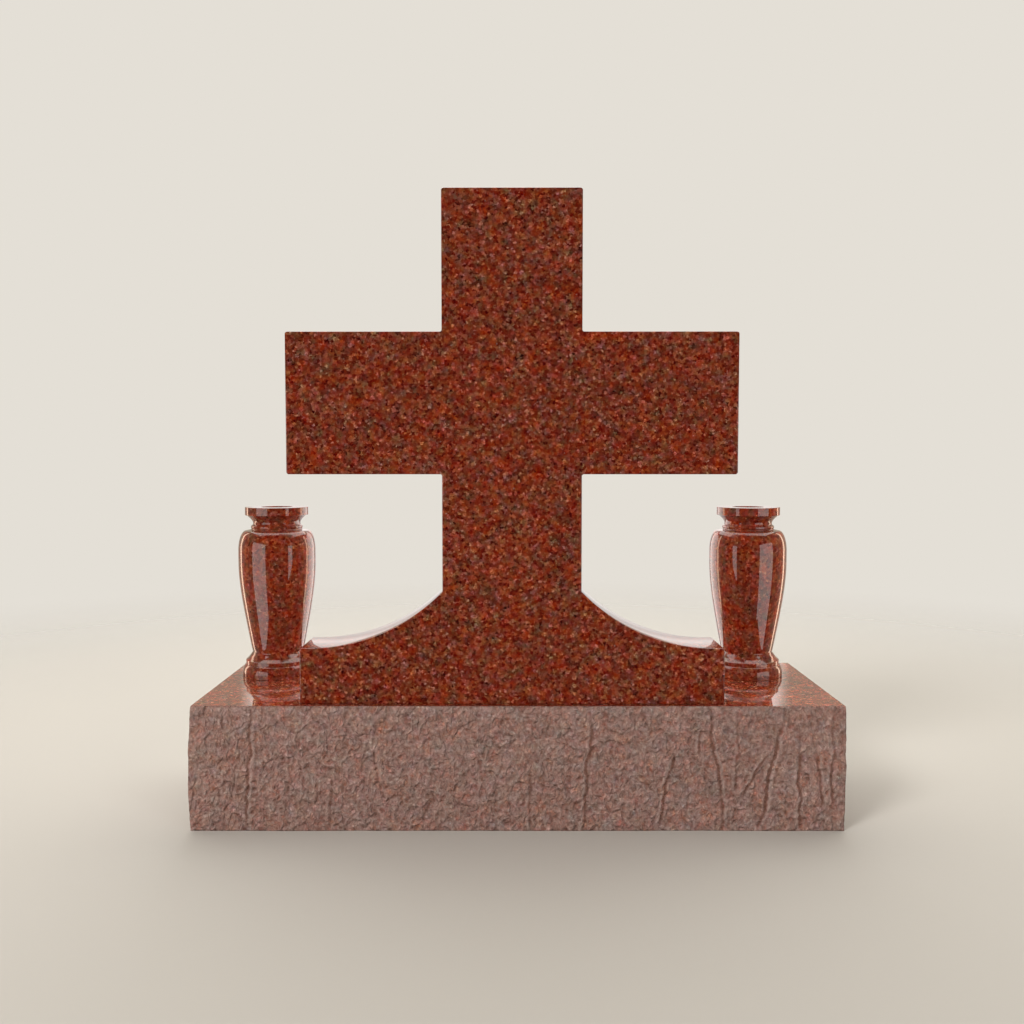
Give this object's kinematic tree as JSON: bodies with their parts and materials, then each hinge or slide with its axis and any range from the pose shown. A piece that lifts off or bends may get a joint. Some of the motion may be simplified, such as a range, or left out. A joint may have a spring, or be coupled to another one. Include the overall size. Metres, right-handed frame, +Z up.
{
  "type": "latin cross headstone",
  "caption": "Polished red granite Latin cross with a flared foot, on a rock-pitched base between turned flower vases.",
  "frame": {"origin": "on the ground, under the middle of the base", "axes": "+X to the viewer's right along the base, +Y from the cross's front face to the back, +Z up"},
  "size_m": [1.063, 0.353, 1.025],
  "materials": {
    "polished_granite": "mirror polished red granite",
    "pitched_granite": "rock-pitched sides, polished top"
  },
  "bodies": {
    "root": {"base": "pitched_granite", "cross": "polished_granite", "vase_left": "polished_granite", "vase_right": "polished_granite"}
  },
  "joints": []
}
